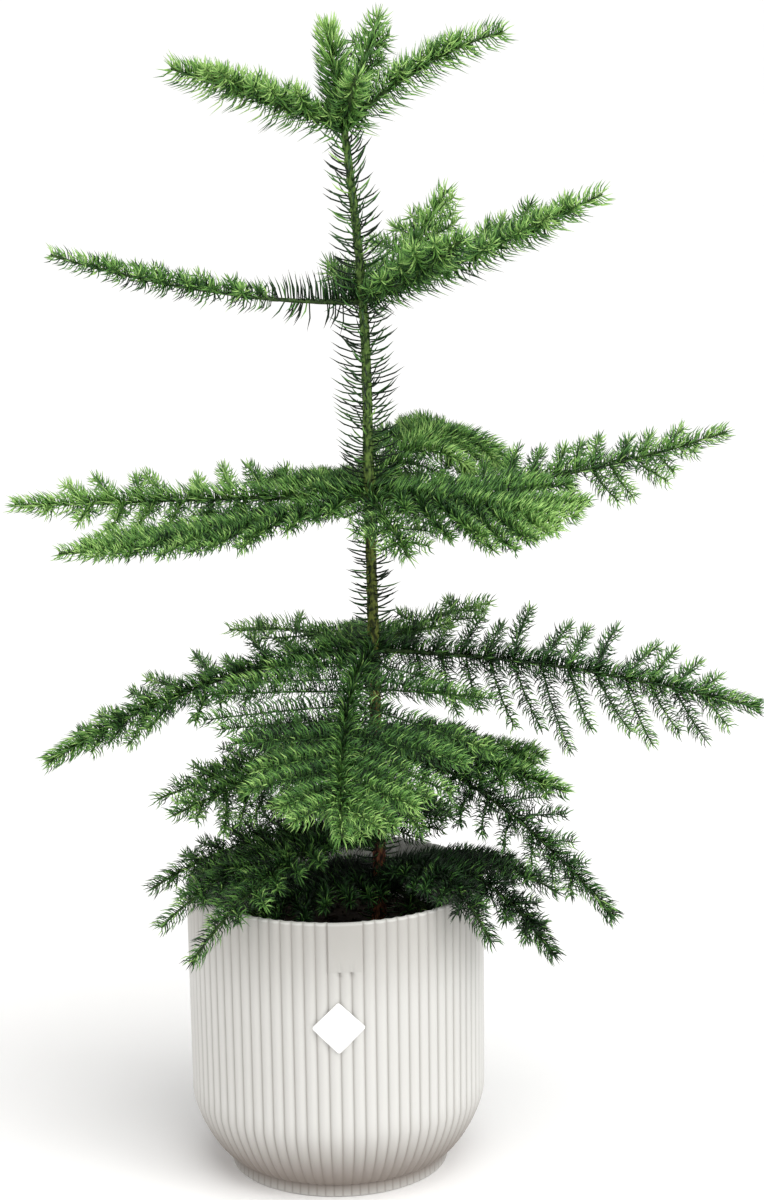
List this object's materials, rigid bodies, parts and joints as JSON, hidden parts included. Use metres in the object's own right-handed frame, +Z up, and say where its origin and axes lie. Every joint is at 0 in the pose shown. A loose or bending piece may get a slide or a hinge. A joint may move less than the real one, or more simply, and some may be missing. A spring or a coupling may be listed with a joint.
{
  "type": "potted norfolk island pine",
  "caption": "Young potted conifer with a slender leaning trunk, tiers of needle-clad boughs and a ribbed round pot.",
  "frame": {"origin": "middle of the pot's flat underside", "axes": "+Z up along the pot's axis, -Y towards the pot's marked front, +X to the right seen from the front"},
  "size_m": [0.453, 0.3396, 0.7031],
  "materials": {
    "pot": "warm off-white moulded plastic with a soft satin sheen",
    "soil": "dark moist potting compost, crumbly",
    "tag": "smooth white sticker, blank",
    "bark": "young bark, red-brown at the foot and olive green above",
    "foliage": "stiff curved green needles, fresh green at the tips"
  },
  "bodies": {
    "root": {"pot": "pot", "soil": "soil", "tag": "tag", "trunk": "bark", "leader_foliage": "foliage", "whorl_1_back_foliage": "foliage", "whorl_1_front_foliage": "foliage", "whorl_1_left_foliage": "foliage", "whorl_1_right_foliage": "foliage", "whorl_2_back_foliage": "foliage", "whorl_2_back_right_bough": "bark", "whorl_2_back_right_foliage": "foliage", "whorl_2_front_right_foliage": "foliage", "whorl_2_left_bough": "bark", "whorl_2_left_foliage": "foliage", "whorl_2_right_bough": "bark", "whorl_2_right_foliage": "foliage", "whorl_3_back_foliage": "foliage", "whorl_3_back_left_foliage": "foliage", "whorl_3_back_right_bough": "bark", "whorl_3_back_right_foliage": "foliage", "whorl_3_front_foliage": "foliage", "whorl_3_front_left_bough": "bark", "whorl_3_front_left_foliage": "foliage", "whorl_3_front_right_bough": "bark", "whorl_3_front_right_foliage": "foliage", "whorl_3_left_bough": "bark", "whorl_3_left_foliage": "foliage", "whorl_3_right_bough": "bark", "whorl_3_right_foliage": "foliage", "whorl_4_back_foliage": "foliage", "whorl_4_back_left_foliage": "foliage", "whorl_4_back_right_foliage": "foliage", "whorl_4_front_bough": "bark", "whorl_4_front_foliage": "foliage", "whorl_4_left_bough": "bark", "whorl_4_left_foliage": "foliage", "whorl_4_right_bough": "bark", "whorl_4_right_foliage": "foliage", "whorl_5_back_left_foliage": "foliage", "whorl_5_back_right_foliage": "foliage", "whorl_5_front_foliage": "foliage", "whorl_5_front_left_foliage": "foliage", "whorl_5_left_foliage": "foliage", "whorl_5_right_foliage": "foliage", "whorl_5_right_low_bough": "bark", "whorl_5_right_low_foliage": "foliage", "whorl_5_right_middle_foliage": "foliage", "whorl_6_back_left_foliage": "foliage", "whorl_6_back_right_foliage": "foliage", "whorl_6_front_left_foliage": "foliage", "whorl_6_front_low_foliage": "foliage", "whorl_6_left_foliage": "foliage", "whorl_7_back_foliage": "foliage", "whorl_7_back_left_foliage": "foliage", "whorl_7_front_foliage": "foliage", "whorl_7_front_left_foliage": "foliage", "whorl_7_front_right_foliage": "foliage", "whorl_7_right_foliage": "foliage", "whorl_7_right_low_foliage": "foliage"}
  },
  "joints": []
}
